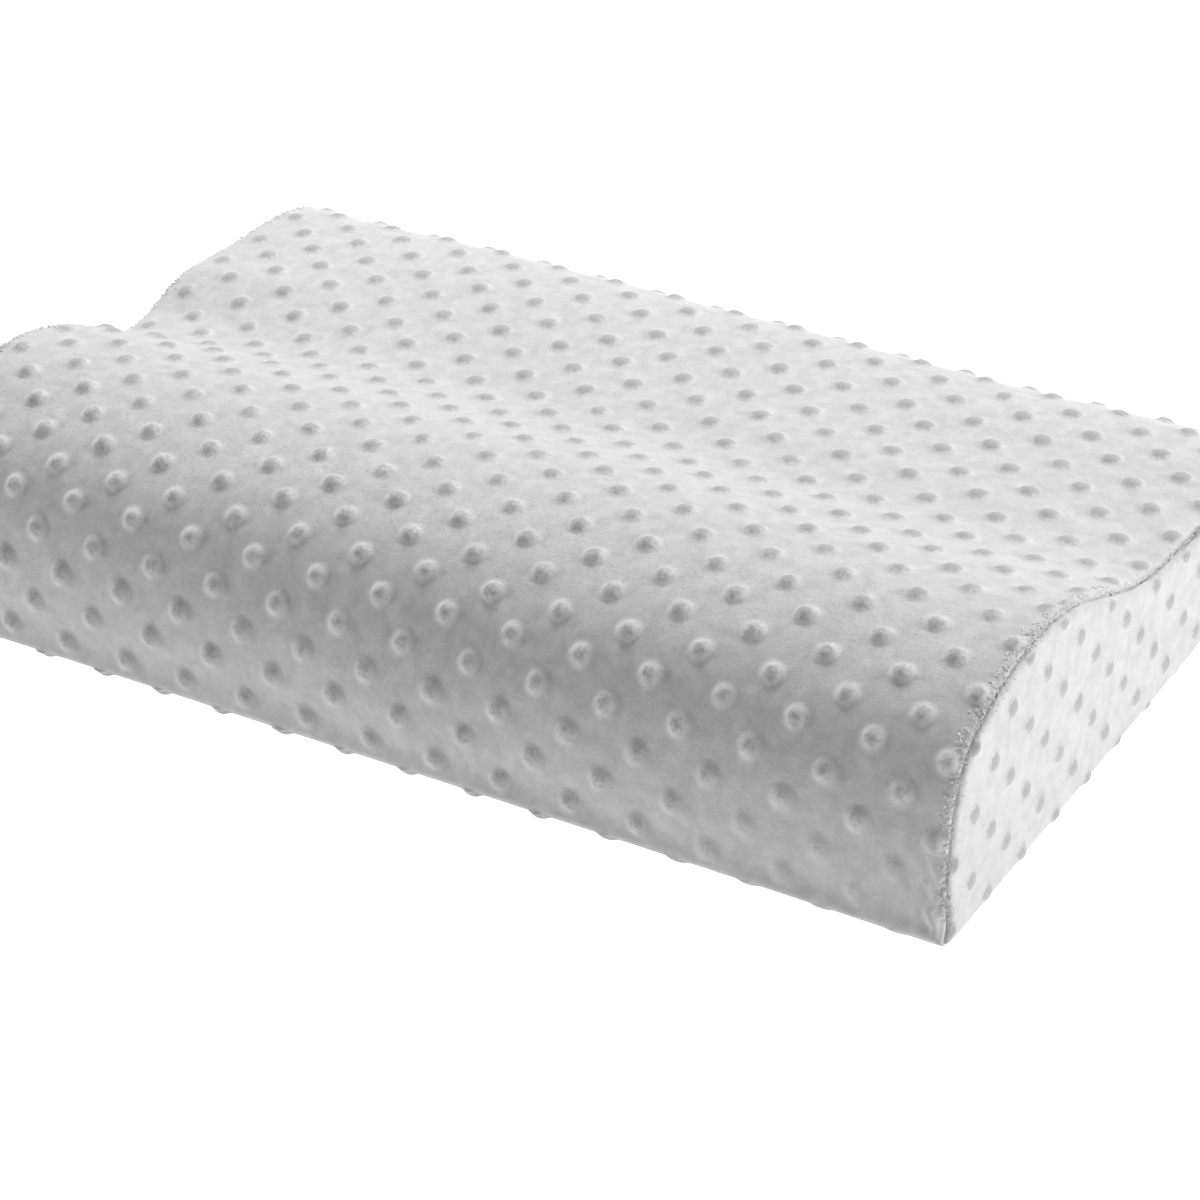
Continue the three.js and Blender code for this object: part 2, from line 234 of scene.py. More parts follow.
def formPoint(x, along, layer):
    # the end's section, bridged over the valley and drawn down over the lobe towards the middle
    y, z = sectionPoint(along)
    outY, outZ = sectionOutward(along)
    middle = 1 - abs(x / halfLength) ** form["endPower"]
    top = float(smoothStep(*form["topFrom"], z))
    lift = hump(y, "valley") - hump(y, "lobe")
    dip = hump(y, "leftDip") - hump(y, "leftRise")
    dip *= float(smoothStep(-0.4 * halfLength, -halfLength, x))
    toRight = smoothStep(-0.8 * halfLength, halfLength, x)
    dip += form["backDrop"] * float(smoothStep(*form["backDropFrom"], y) * toRight)
    fromZip = float(smoothStep(form["zipBand"], 3 * form["zipBand"], min(along, girth - along)))
    offFloor = float(smoothStep(*form["floorFrom"], z))
    inset = layer["zipInset"] + (layer["inset"] - layer["zipInset"]) * fromZip
    inset = layer["baseLift"] + (inset - layer["baseLift"]) * offFloor
    foot = layer["foot"] * math.exp(-(z / form["footHeight"]) ** 2)
    y -= foot * float(smoothStep(*form["footFrom"], y))
    z += lift * top * middle - dip * top
    x = math.copysign(min(abs(x), halfLength - layer["endInset"]), x)
    return Vector((x, y - outY * inset, z - outZ * inset))


def addWrap(bm, cloth, panel, layer):
    columns, rows = form["lengthCells"], girthCells
    grid = bmesh.ops.create_grid(bm, x_segments=columns, y_segments=rows, size=0.5)
    places = {}
    for vert in grid["verts"]:
        column = round((vert.co.x + 0.5) * columns)
        row = round((vert.co.y + 0.5) * rows)
        places[vert] = (column, row)
        vert.co = formPoint(column * cellLength - halfLength, stationAlong(row), layer)
    for face in {f for v in grid["verts"] for f in v.link_faces}:
        row = min(places[v][1] for v in face.verts)
        face[panel] = 1 if row < frontSeamStation else 0
        for loop in face.loops:
            column, station = places[loop.vert]
            loop[cloth].uv = (column * cellLength - halfLength, station * cellGirth)


def addEnd(bm, cloth, panel, side, layer):
    # a four-sided patch filled in from the section's base, front, top and back
    across = form["baseCells"]
    up = girthCells // 2 - across
    corner = round(form["cornerDrop"] / cellGirth)
    frontCorner = corner + across

    def edge(station):
        return formPoint(side * halfLength, stationAlong(station), layer)

    low = [edge(frontCorner - i) for i in range(across + 1)]
    high = [edge(frontCorner + up + i) for i in range(across + 1)]
    front = [edge(frontCorner + i) for i in range(up + 1)]
    back = [edge(corner + girthCells - i) for i in range(up + 1)]
    grid = bmesh.ops.create_grid(bm, x_segments=across, y_segments=up, size=0.5)
    for vert in grid["verts"]:
        i = round((vert.co.x + 0.5) * across)
        j = round((vert.co.y + 0.5) * up)
        s, t = i / across, j / up
        sides = low[i] * (1 - t) + high[i] * t + front[j] * (1 - s) + back[j] * s
        corners = (low[0] * (1 - s) + low[-1] * s) * (1 - t) + (high[0] * (1 - s) + high[-1] * s) * t
        vert.co = sides - corners
    for face in {f for v in grid["verts"] for f in v.link_faces}:
        face[panel] = 2 if side > 0 else 3
        for loop in face.loops:
            loop[cloth].uv = (loop.vert.co.y, loop.vert.co.z)


def buildForm(name, layer):
    bm = bmesh.new()
    cloth = bm.loops.layers.uv.new("cloth")
    panel = bm.faces.layers.int.new("panel")
    addWrap(bm, cloth, panel, layer)
    addEnd(bm, cloth, panel, 1, layer)
    addEnd(bm, cloth, panel, -1, layer)
    bmesh.ops.remove_doubles(bm, verts=bm.verts, dist=0.0004)
    bmesh.ops.recalc_face_normals(bm, faces=bm.faces)
    return newObject(name, bm)


swell = dict(frames=20, pressure=4.0, mass=0.3, tension=18.0, bending=1.5, quality=6, floorHold=0.97)


def swellForm(obj):
    # air pressure rounds the panels out between their seams, as the foam does
    start = readVectors(obj.data.vertices, "co")
    held = obj.vertex_groups.new(name="held")
    for index, (x, y, z) in enumerate(start):
        atEnd = abs(x) > halfLength - coverLayer["endInset"] - 2e-4
        atSeam = atEnd and np.hypot(outline[:, 0] - y, outline[:, 1] - z).min() < 0.003
        atZip = y > backFace - 0.001 and abs(z - zipHeight) < form["zipBand"]
        if atSeam or atZip:
            held.add([index], 1.0, "REPLACE")
        elif z < coverLayer["baseLift"] + 2e-4:
            held.add([index], swell["floorHold"], "REPLACE")
    cloth = obj.modifiers.new("swell", "CLOTH")
    settings = cloth.settings
    settings.quality = swell["quality"]
    settings.mass = swell["mass"]
    settings.tension_stiffness = settings.compression_stiffness = swell["tension"]
    settings.bending_stiffness = swell["bending"]
    settings.use_pressure = True
    settings.uniform_pressure_force = swell["pressure"]
    settings.vertex_group_mass = "held"
    settings.effector_weights.gravity = 0
    cloth.point_cache.frame_start = 1
    cloth.point_cache.frame_end = swell["frames"]
    for step in range(1, swell["frames"] + 1):
        bpy.context.scene.frame_set(step)
    applyModifiers(obj)
    bpy.context.scene.frame_set(1)
    moved = readVectors(obj.data.vertices, "co") - start
    reach = np.linalg.norm(moved, axis=1)
    moved /= 1 + (reach / form["cap"])[:, None]
    points = start + moved
    points[:, 2] = np.maximum(points[:, 2], coverLayer["baseLift"])
    writePoints(obj.data, points)
    report("cover swelled, most", round(reach.max() * 1000, 1), "mm, mean", round(reach.mean() * 1000, 1))


coverForm = buildForm("cover_form", coverLayer)
swellForm(coverForm)


# Panels: a form's cloth cut at its seams, raised into dots, with every edge rolled and turned under

# dots and fabric hold heights and distances in metres; a pair of places is where a change starts and ends
dots = dict(
    radius=0.0051, endRadius=0.0041,
    height=0.0027, endHeight=0.0015,
    seamFade=(0.0005, 0.0045),   # dots rise between these distances from a seam
    frontSeamFade=(0.0002, 0.0015),
    zipFade=(0.001, 0.004),      # and between these distances from the zip's stitches
    restingFrom=(0.0008, 0.0035),
    brushedFrom=(-0.105, -0.055),
    # going back from the front, the dots' painted shade grows to full strength between these
    frontShadeFade=(-0.095, -0.035),
    pressedBelow=(0.030, 0.060), pressedTowards=(0.06, 0.20),
    topShare=0.72,        # dots on top stand this much of that height, their pile brushed down
    frontShadeShare=0.38,       # the front's dots carry this share of the painted shade
    pressed=0.5,          # how far the dots low on the front are flattened towards the right end
    flatness=2.6,         # higher makes a flatter top and a steeper side
    softness=1.3,
    floorHeight=0.0009,   # dots that the pillow lies on are pressed flat
    uneven=0.12,          # share by which one dot's height differs from the next
    wander=0.0004,        # how far a dot strays from its place
    shoulderHeight=0.0738,   # a row of dots runs along the front at this height
    frontStretch=1.13,       # rows stand further apart below it, where the cloth is drawn down
    fromEnd=0.0077,          # and its last dot is this far from the right end
    endLattice=((0.0118, -0.0142), (0.0153, 0.0130)),
    endAnchor=(-0.0231, 0.0448),
    endShadeShare=1.35,          # the end panels' dots carry this much more painted shade
    matted=0.16,          # the pile is rubbed in specks along the crest
    mattedAt=-0.098, mattedReach=0.026, mattedAbove=(0.055, 0.075),
    labelPress=0.75, labelMargin=0.002, labelFade=0.003,   # dots are pressed flatter under the label
)
fabric = dict(
    subdivisions=2,
    endRound=0.0070,      # radius of the cover's edge at the end seams
    seamRound=0.003,      # and at its other seams
    seamGap=0.00004,      # half the gap left open at a seam
    turnUnder=(0.0011, 0.0012),
    swayHeight=0.0005,    # slow unevenness of the cloth
    swayFade=(0.002, 0.010),
    shareWithin=(0.001, 0.006),      # this near a seam both panels move the same way
    foldHeight=0.0013,    # pinched folds beside the right end seam, low on the front
    foldSpacing=0.0068,
    foldFrom=(0.0015, 0.004), foldTo=(0.0095, 0.019),       # from the seam
    foldFoot=(0.003, 0.010), foldTop=(0.024, 0.046),        # up the front
    foldWobble=((0.0012, 260, 0), (0.0007, 610, 1)),        # size, turns to the metre and shift
    stitchDip=0.0006, dipWidth=0.0012,
)


def cutPanel(source, name, numbers, subdivisions):
    bm = bmesh.new()
    bm.from_mesh(source.data)
    bm.normal_update()
    facing = bm.verts.layers.float_vector.new("facing")
    for vert in bm.verts:
        vert[facing] = vert.normal
    panel = bm.faces.layers.int["panel"]
    cloth = bm.loops.layers.uv["cloth"]
    away = [f for f in bm.faces if f[panel] not in numbers]
    if source is coverForm:
        away += [f for f in bm.faces if f[panel] in numbers and inMouth(f, cloth, panel)]
    bmesh.ops.delete(bm, geom=away, context="FACES")
    obj = newObject(name, bm)
    subdivide(obj, subdivisions)
    return obj


def inMouth(face, cloth, panel):
    # the strip over the zip is left open
    u = sum(loop[cloth].uv[0] for loop in face.loops) / len(face.loops)
    v = sum(loop[cloth].uv[1] for loop in face.loops) / len(face.loops)
    return face[panel] < 2 and abs(u) < mouthHalfLength and min(v, girth - v) < cellGirth


def uneven(p, q, seed):
    # the same scatter between -1 and 1 for the same dot each run
    scatter = np.sin(p * 12.9898 + q * 78.233 + seed * 37.719) * 43758.5453
    return 2 * (scatter - np.floor(scatter)) - 1


def dotField(places, anchor, first, second, radius, seed):
    # share of a dot's full height at each place on the cloth
    basis = np.array([first, second]).T
    steps = np.linalg.solve(basis, (places - anchor).T)
    rise = np.zeros(len(places))
    for across in (0, 1):
        for along in (0, 1):
            p, q = np.floor(steps[0]) + across, np.floor(steps[1]) + along
            centre = (basis @ np.array([p, q])).T + anchor
            stray = np.stack([uneven(p, q, seed + 1), uneven(p, q, seed + 2)], axis=1) * dots["wander"]
            away = np.linalg.norm(places - centre - stray, axis=1) / radius
            dome = np.clip(1 - away ** dots["flatness"], 0, 1) ** dots["softness"]
            rise = np.maximum(rise, dome * (1 + dots["uneven"] * uneven(p, q, seed)))
    return rise


def edgePlaces(mesh, normals):
    # for each point, how far the nearest edge is and which way the seam there faces sideways
    bm = bmesh.new()
    bm.from_mesh(mesh)
    facing = bm.verts.layers.float_vector["facing"]
    rim = [v for v in bm.verts if v.is_boundary]
    tree = KDTree(len(rim))
    for index, vert in enumerate(rim):
        tree.insert(vert.co, index)
    tree.balance()
    away = np.empty(len(bm.verts))
    side = np.zeros((len(bm.verts), 3))
    for vert in bm.verts:
        _, index, distance = tree.find(vert.co)
        away[vert.index] = distance
        if distance < 2 * fabric["endRound"]:
            outward = Vector(normals[vert.index])
            turned = rim[index][facing] - outward * rim[index][facing].dot(outward)
            if turned.length > 0.3:
                side[vert.index] = turned.normalized()
    bm.free()
    return away, side


def shareNormals(mesh, normals, share):
    # beside a seam both panels move the way the whole cloth faced before it was cut
    facing = readVectors(mesh.attributes["facing"].data, "vector")
    mixed = normals * (1 - share)[:, None] + facing * share[:, None]
    return mixed / np.linalg.norm(mixed, axis=1)[:, None]


def rollIn(away, radius):
    # a quarter round shared by the two panels that meet at a seam
    reach = radius * math.sqrt(0.5)
    inside = np.clip(reach - away, 0, reach)
    depth = radius - np.sqrt(radius ** 2 - inside ** 2)
    slide = radius * (1 - math.sqrt(0.5)) * (inside / reach) ** 2
    return depth, slide


def wrapExtras(cloth, points, away):
    # slow sway, the dip along the zip's stitches and the folds by the lower front corner
    u, v = cloth[:, 0], cloth[:, 1]
    sway = np.sin(u * 41 + np.sin(v * 23) * 1.4) * np.sin(v * 37 + 1.1 + np.sin(u * 19) * 1.7)
    extra = sway * fabric["swayHeight"]
    fromZip = np.minimum(v, girth - v)
    besideRow = np.exp(-((fromZip - stitchRowHeight) / fabric["dipWidth"]) ** 2)
    besideRow *= np.abs(u) < mouthHalfLength
    extra -= fabric["stitchDip"] * besideRow
    fromEnd = halfLength - u
    height = points[:, 2]
    wobble = sum(size * np.sin(height * turns + shift) for size, turns, shift in fabric["foldWobble"])
    crease = np.cos((fromEnd + wobble) / fabric["foldSpacing"] * math.tau) * 0.5 - 0.1
    onFront = (points[:, 1] < frontHalf) * smoothStep(*fabric["foldFoot"], height)
    onFront *= 1 - smoothStep(*fabric["foldTop"], height)
    near = smoothStep(*fabric["foldFrom"], fromEnd) * (1 - smoothStep(*fabric["foldTo"], fromEnd))
    return extra * smoothStep(*fabric["swayFade"], away) + crease * fabric["foldHeight"] * onFront * near


def underLabel(points, cloth):
    low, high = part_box("care_label")
    behind = (points[:, 1] > backFace - 0.006) & (cloth[:, 1] < girth / 2)
    margin, fade = dots["labelMargin"], dots["labelFade"]
    fromLeft = smoothStep(0.0, fade, points[:, 0] - low[0] + margin)
    fromRight = smoothStep(0.0, fade, high[0] + margin - points[:, 0])
    return behind * fromLeft * fromRight


# raises the dots and writes the painted shade that darkens them, with the matting along the crest
def raiseDots(mesh, points, cloth, away, onWrap, seed):
    if onWrap:
        places = cloth.copy()
        places[:, 1] -= np.minimum(cloth[:, 1] - shoulderAlong, 0) * (1 - 1 / dots["frontStretch"])
        anchor = np.array([halfLength - dots["fromEnd"], shoulderAlong])
        first, second = (dotPitch / 2, -rowStep), (dotPitch / 2, rowStep)
        radius = dots["radius"]
    else:
        places = cloth
        anchor = np.array(dots["endAnchor"])
        first, second = dots["endLattice"]
        radius = dots["endRadius"]
    rise = dotField(places, anchor, first, second, radius, seed)
    # painted shade: how strongly each dot is darkened, standing in for the shade on the dots' sides away from
    # the light
    dotShade = np.ones(len(rise))
    if onWrap:
        fromZip = np.minimum(cloth[:, 1], girth - cloth[:, 1])
        rise *= smoothStep(*dots["zipFade"], fromZip - stitchRowHeight)
        rise *= 1 - dots["labelPress"] * underLabel(points, cloth)
        dotShade -= (1 - dots["frontShadeShare"]) * (1 - smoothStep(*dots["frontShadeFade"], points[:, 1]))
        lowFront = (points[:, 1] < frontHalf) * (1 - smoothStep(*dots["pressedBelow"], points[:, 2]))
        rise *= 1 - dots["pressed"] * lowFront * smoothStep(*dots["pressedTowards"], points[:, 0])
        # the front seam lies under the edge, and dots run right up to it
        atFrontSeam = np.abs(np.abs(cloth[:, 1] - frontSeamAlong) - away) < 0.002
        beside = smoothStep(*dots["seamFade"], away)
        rise *= np.where(atFrontSeam, smoothStep(*dots["frontSeamFade"], away), beside)
    else:
        dotShade *= dots["endShadeShare"]
        rise *= smoothStep(*dots["seamFade"], away)
    offFloor = smoothStep(*dots["restingFrom"], points[:, 2])
    matted = dots["matted"] * np.exp(-((points[:, 1] - dots["mattedAt"]) / dots["mattedReach"]) ** 2)
    matted *= onWrap * smoothStep(*dots["mattedAbove"], points[:, 2])
    # the attribute carries the dots' painted shade and the matting along the crest, and the velour darkens by
    # it
    addAttribute(mesh, "dotShadeAndMatting", rise * dotShade + matted)
    brushed = 1 - (1 - dots["topShare"]) * smoothStep(*dots["brushedFrom"], points[:, 1])
    height = dots["height"] * brushed if onWrap else dots["endHeight"]
    return rise * (dots["floorHeight"] + (height - dots["floorHeight"]) * offFloor)


def finishPanel(obj, dotted, onWrap, seed):
    mesh = obj.data
    points, cloth = readVectors(mesh.vertices, "co"), readCloth(mesh)
    normals = readVectors(mesh.vertex_normals, "vector")
    away, side = edgePlaces(mesh, normals)
    atEnd = np.linalg.norm(side, axis=1) > 0
    shared = 1 - smoothStep(*fabric["shareWithin"], away)
    normals = shareNormals(mesh, normals, np.where(atEnd, 0, shared))
    endDepth, endSlide = rollIn(away, fabric["endRound"])
    seamDepth, _ = rollIn(away, fabric["seamRound"])
    depth = np.where(atEnd, endDepth, seamDepth)
    sunk = points - normals * depth[:, None] - side * endSlide[:, None]
    height = np.zeros(len(points))
    if dotted:
        height += raiseDots(mesh, points, cloth, away, onWrap, seed)
        if onWrap:
            height += wrapExtras(cloth, points, away)
    sunk += normals * height[:, None]
    sunk[:, 2] = np.maximum(sunk[:, 2], 0.0001)
    writePoints(mesh, sunk)
    turnEdges(obj)
    shadeSmooth(obj)


def turnEdges(obj):
    # every raw edge leaves the seam's gap and turns under, as a sewn edge does
    bm = bmesh.new()
    bm.from_mesh(obj.data)
    facing = bm.verts.layers.float_vector["facing"]
    rim = [e for e in bm.edges if e.is_boundary]
    for vert in {v for e in rim for v in e.verts}:
        pull = Vector()
        for e in vert.link_edges:
            if not e.is_boundary:
                pull += (e.other_vert(vert).co - vert.co).normalized()
        pull -= vert[facing] * pull.dot(vert[facing])
        if pull.length > 1e-6:
            vert.co += pull.normalized() * fabric["seamGap"]
    for depth in fabric["turnUnder"]:
        grown = bmesh.ops.extrude_edge_only(bm, edges=rim)["geom"]
        for vert in [g for g in grown if isinstance(g, bmesh.types.BMVert)]:
            vert.co -= vert[facing].normalized() * depth
            vert.co.z = max(vert.co.z, 0.0003)
        rim = [g for g in grown if isinstance(g, bmesh.types.BMEdge)]
    bm.to_mesh(obj.data)
    bm.free()
    obj.data.update()


frontRise = [i for i, (y, z) in enumerate(outline) if y < frontHalf and 0.02 < z < 0.088]
shoulderAlong = float(np.interp(dots["shoulderHeight"], outline[frontRise, 1], outlineRun[frontRise]))


def addPanels(source, parts, dotted, subdivisions):
    made = {}
    for name, (numbers, node, slot) in parts.items():
        piece = cutPanel(source, name, numbers, subdivisions)
        finishPanel(piece, dotted, max(numbers) < 2, min(numbers))
        standFor(piece, "pillow", node)
        made[name] = piece
        report(name, len(piece.data.polygons), "faces")
    bpy.data.objects.remove(source)
    return made


coverPieces = addPanels(coverForm, {
    "cover_top": ((0,), "cover_top_panel", "cover_velour"),
    "cover_base": ((1,), "cover_base_panel", "cover_velour"),
    "cover_right_end": ((2,), "cover_end_right", "cover_velour"),
    "cover_left_end": ((3,), "cover_end_left", "cover_velour"),
}, True, fabric["subdivisions"])
linerPieces = addPanels(buildForm("liner_form", linerLayer), {
    "liner_sleeve": ((0, 1), "liner_wrap", "liner_jersey"),
    "liner_right_end": ((2,), "liner_end_right", "liner_jersey"),
    "liner_left_end": ((3,), "liner_end_left", "liner_jersey"),
}, False, 1)


def addFoam():
    obj = buildForm("foam_block", foamLayer)
    subdivide(obj, 1)
    shadeSmooth(obj)
    standFor(obj, "pillow", "foam_core")
    return obj


foamBlock = addFoam()


# Sewing: one arched stitch, laid again and again along each seam

sewing = dict(
    arch=100,              # degrees that a stitch bends through
    sides=6, steps=4,
    batch=150,
    seam=dict(length=0.0032, radius=0.00032, spacing=0.0040, slant=8),
    zipRow=dict(length=0.0026, radius=0.00034, spacing=0.0031, slant=6),
    tack=dict(length=0.0021, radius=0.00030, spacing=0.00062, slant=12),
    liner=dict(length=0.0030, radius=0.00026, spacing=0.0034, slant=24, zigzag=True),
    grooveDepth=0.0016,
    frontGrooveDepth=0.0026,
    backSink=0.29,         # how deep the seams beside the zip lie, as a share of their rounding
)


def makeStitch(look):
    bm = bmesh.new()
    arch = math.radians(sewing["arch"])
    bend = look["length"] / (2 * math.sin(arch / 2))
    ring = bmesh.ops.create_circle(bm, segments=sewing["sides"], radius=look["radius"])
    standing = Matrix.Translation((0, 0, bend)) @ Matrix.Rotation(math.pi / 2, 4, "Y")
    bmesh.ops.transform(bm, matrix=Matrix.Rotation(-arch / 2, 4, "Y") @ standing, verts=ring["verts"])
    bmesh.ops.spin(bm, geom=bm.verts[:] + bm.edges[:], cent=(0, 0, 0), axis=(0, 1, 0), angle=arch,
                   steps=sewing["steps"])
    bmesh.ops.holes_fill(bm, edges=bm.edges[:], sides=sewing["sides"])
    bmesh.ops.translate(bm, vec=(0, 0, -bend * math.cos(arch / 2)), verts=bm.verts)
    bmesh.ops.recalc_face_normals(bm, faces=bm.faces)
    return toMesh("stitch", bm)


def stampAll(stamp, turns):
    # in batches, because a long row of points is slow to look up
    whole = bmesh.new()
    for first in range(0, len(turns), sewing["batch"]):
        batch = bmesh.new()
        for turn in turns[first:first + sewing["batch"]]:
            before = len(batch.verts)
            batch.from_mesh(stamp)
            batch.verts.ensure_lookup_table()
            bmesh.ops.transform(batch, matrix=turn, verts=batch.verts[before:])
        mesh = toMesh("batch", batch)
        whole.from_mesh(mesh)
        bpy.data.meshes.remove(mesh)
    bpy.data.meshes.remove(stamp)
    return whole


def sew(name, look, places, node):
    # places holds, for each stitch, its middle, the way it runs and the way it faces
    turns = []
    for count, (middle, run, outward) in enumerate(places):
        run = (run - outward * run.dot(outward)).normalized()
        turn = Matrix((run, outward.cross(run), outward)).transposed().to_4x4()
        way = (-1) ** count if look.get("zigzag") else 1
        slant = Matrix.Rotation(math.radians(look["slant"] * way), 4, "Z")
        turns.append(Matrix.Translation(middle) @ turn @ slant)
    obj = newObject(name, stampAll(makeStitch(look), turns))
    shadeSmooth(obj)
    standFor(obj, "pillow", node)
    return obj


def straightPlaces(start, end, spacing, outward):
    start, end = Vector(start), Vector(end)
    count = max(2, round((end - start).length / spacing))
    return [(start.lerp(end, (i + 0.5) / count), end - start, Vector(outward)) for i in range(count)]


endRounding = fabric["endRound"] * (1 - math.sqrt(0.5))


def ringPlaces(side, spacing, layer, depth):
    # round the end seam, in the groove between the two panels
    count = round(girth / spacing)
    places = []
    for i in range(count):
        along = girth * i / count
        here = formPoint(side * halfLength, along, layer)
        ahead = formPoint(side * halfLength, (along + 0.002) % girth, layer)
        outY, outZ = sectionOutward(along)
        outward = Vector((side, outY, outZ)).normalized()
        place = here - Vector((side, outY, outZ)) * endRounding - outward * depth
        place.z = max(place.z, 0.0008)
        places.append((place, ahead - here, outward))
    return places


def rowBetween(node, look, y, z, outward):
    # a straight row as long as the CAD thread
    low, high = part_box(node)
    return straightPlaces((low[0], y, z), (high[0], y, z), look["spacing"], outward)


def addTack(word):
    node = f"zip_end_tack_{word}"
    low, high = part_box(node)
    x = nodeMiddle(node).x
    tall = straightPlaces((x, backFace, low[2]), (x, backFace, high[2]), sewing["tack"]["spacing"], (0, 1, 0))
    level = [(place, Vector((1, 0, 0)), outward) for place, run, outward in tall]
    return sew(f"zip_tack_{word}", sewing["tack"], level, node)


def addSewing():
    made = []
    seam, zipRow, liner = sewing["seam"], sewing["zipRow"], sewing["liner"]
    backDepth = backFace - sewing["grooveDepth"] - fabric["seamRound"] * sewing["backSink"]
    for side, word in ((1, "right"), (-1, "left")):
        ring = ringPlaces(side, seam["spacing"], seamLayer, sewing["grooveDepth"])
        made.append(sew(f"end_stitches_{word}", seam, ring, f"end_seam_thread_{word}"))
        inner = ringPlaces(side, liner["spacing"], linerLayer, 0.0)
        made.append(sew(f"liner_stitches_{word}", liner, inner, f"liner_end_thread_{word}"))
        node = f"back_seam_thread_{word}"
        row = rowBetween(node, seam, backDepth, zipHeight, (0, 1, 0))
        made.append(sew(f"back_stitches_{word}", seam, row, node))
        made.append(addTack(word))
    outY, outZ = sectionOutward(frontSeamAlong)
    middle = formPoint(0.0, frontSeamAlong, seamLayer)
    middle -= Vector((0, outY, outZ)) * sewing["frontGrooveDepth"]
    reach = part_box("front_seam_thread")[1][0] - fabric["endRound"]
    row = straightPlaces((-reach, middle.y, middle.z), (reach, middle.y, middle.z),
                         seam["spacing"], (0, outY, outZ))
    made.append(sew("front_stitches", seam, row, "front_seam_thread"))
    for word in ("upper", "lower"):
        node = f"zip_stitch_{word}"
        row = rowBetween(node, zipRow, backFace - fabric["stitchDip"], nodeMiddle(node).z, (0, 1, 0))
        made.append(sew(f"zip_stitches_{word}", zipRow, row, node))
    node = "liner_closing_thread"
    row = rowBetween(node, liner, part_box(node)[1][1], nodeMiddle(node).z, (0, 1, 0))
    made.append(sew("liner_closing_stitches", liner, row, node))
    return made


stitches = addSewing()
report("sewing done")


# Pile: tufts that the end seams have caught and that stand out of them

pile = dict(
    count=5600, length=(0.0014, 0.0029), width=(0.00018, 0.00036),
    spread=0.0034,         # how far from the seam a tuft may root
    gather=0.6,            # lower keeps the tufts nearer the seam
    onWrap=0.75,           # share that root on the wrap's side
    endReach=0.6,          # and the others spread this much as far
    splay=0.5, ruffle=0.5,
    rootDepth=0.0003,
    above=0.012,           # the pile is pressed flat nearer the floor than this
    lean=1.3,
    seed=11,
)


def makeTuft():
    # a tapered three-sided hair of unit length, bent a little: each step rises, leans and tapers
    bm = bmesh.new()
    bmesh.ops.create_circle(bm, segments=3, radius=1)
    rim = bm.edges[:]
    for rise, lean, taper in ((0.5, 0.10, 0.75), (0.3, 0.16, 0.5), (0.2, 0.16, 0.02)):
        grown = bmesh.ops.extrude_edge_only(bm, edges=rim)["geom"]
        fresh = [g for g in grown if isinstance(g, bmesh.types.BMVert)]
        rim = [g for g in grown if isinstance(g, bmesh.types.BMEdge)]
        middle = sum((v.co for v in fresh), Vector()) / len(fresh)
        bmesh.ops.scale(bm, vec=(taper, taper, 1), space=Matrix.Translation(-middle), verts=fresh)
        bmesh.ops.translate(bm, vec=(lean, 0, rise), verts=fresh)
    bmesh.ops.holes_fill(bm, edges=bm.edges[:], sides=3)
    bmesh.ops.recalc_face_normals(bm, faces=bm.faces)
    return toMesh("tuft", bm)


def addPile(side, word):
    draw = np.random.default_rng(pile["seed"] + side)
    turns = []
    for index in range(pile["count"]):
        along = girth * (index + draw.uniform(0, 1)) / pile["count"]
        offset = abs(draw.normal(0, pile["gather"])) * pile["spread"]
        if draw.uniform(0, 1) >= pile["onWrap"]:
            offset *= -pile["endReach"]
        length, width = draw.uniform(*pile["length"]), draw.uniform(*pile["width"])
        tilt = draw.normal(0, pile["lean"], 3)
        here = formPoint(side * halfLength, along, coverLayer)
        outY, outZ = sectionOutward(along)
        overEnd, overWrap = Vector((side, 0, 0)), Vector((0, outY, outZ))
        # tufts root on the wrap on one side of the seam and on the end panel on the other
        across = (overWrap - overEnd).normalized()
        outward = (overWrap + overEnd).normalized()
        root = here - (overEnd + overWrap) * endRounding - outward * pile["rootDepth"]
        # the quarter round falls away from the seam towards the wrap or the end panel
        root += across * offset - outward * offset ** 2 / (2 * fabric["endRound"])
        if root.z < pile["above"]:
            continue
        up = outward - across * offset / pile["spread"] * pile["splay"] + Vector(tilt) * pile["ruffle"]
        turn = up.normalized().to_track_quat("Z", "X").to_matrix().to_4x4()
        turns.append(Matrix.Translation(root) @ turn @ Matrix.Diagonal((width, width, length, 1)))
    obj = newObject(f"seam_pile_{word}", stampAll(makeTuft(), turns))
    shadeSmooth(obj)
    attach(obj, "pillow")
    return obj


seamPile = [addPile(1, "right"), addPile(-1, "left")]
report("pile done")


# Zip: woven tapes, rows of bent nylon teeth, cast stops, slider and pull

zipLook = dict(
    travelTeeth=275,       # teeth along the slider's travel, so that it meets them alike at both ends
    toothWire=0.00027, toothSides=5, toothSteps=10,
    reachPastMiddle=0.00045,
    tapeColumns=232, tapeRows=10, tapeThickness=0.00045,
    cordHeight=0.00025, cordSpread=0.12, cordFront=0.4,
    ripple=0.00006, ripples=190,
    toothLean=7,           # degrees
    castBevel=0.00022, pullBevel=0.00028,
    flatWithin=3, arrisFrom=35, creaseFrom=40,     # degrees between two faces
)


sliderRun = next(joint for joint in frame["joints"] if joint["name"] == "slider_run")
toothPitch = sliderRun["range_m"][1] / zipLook["travelTeeth"]


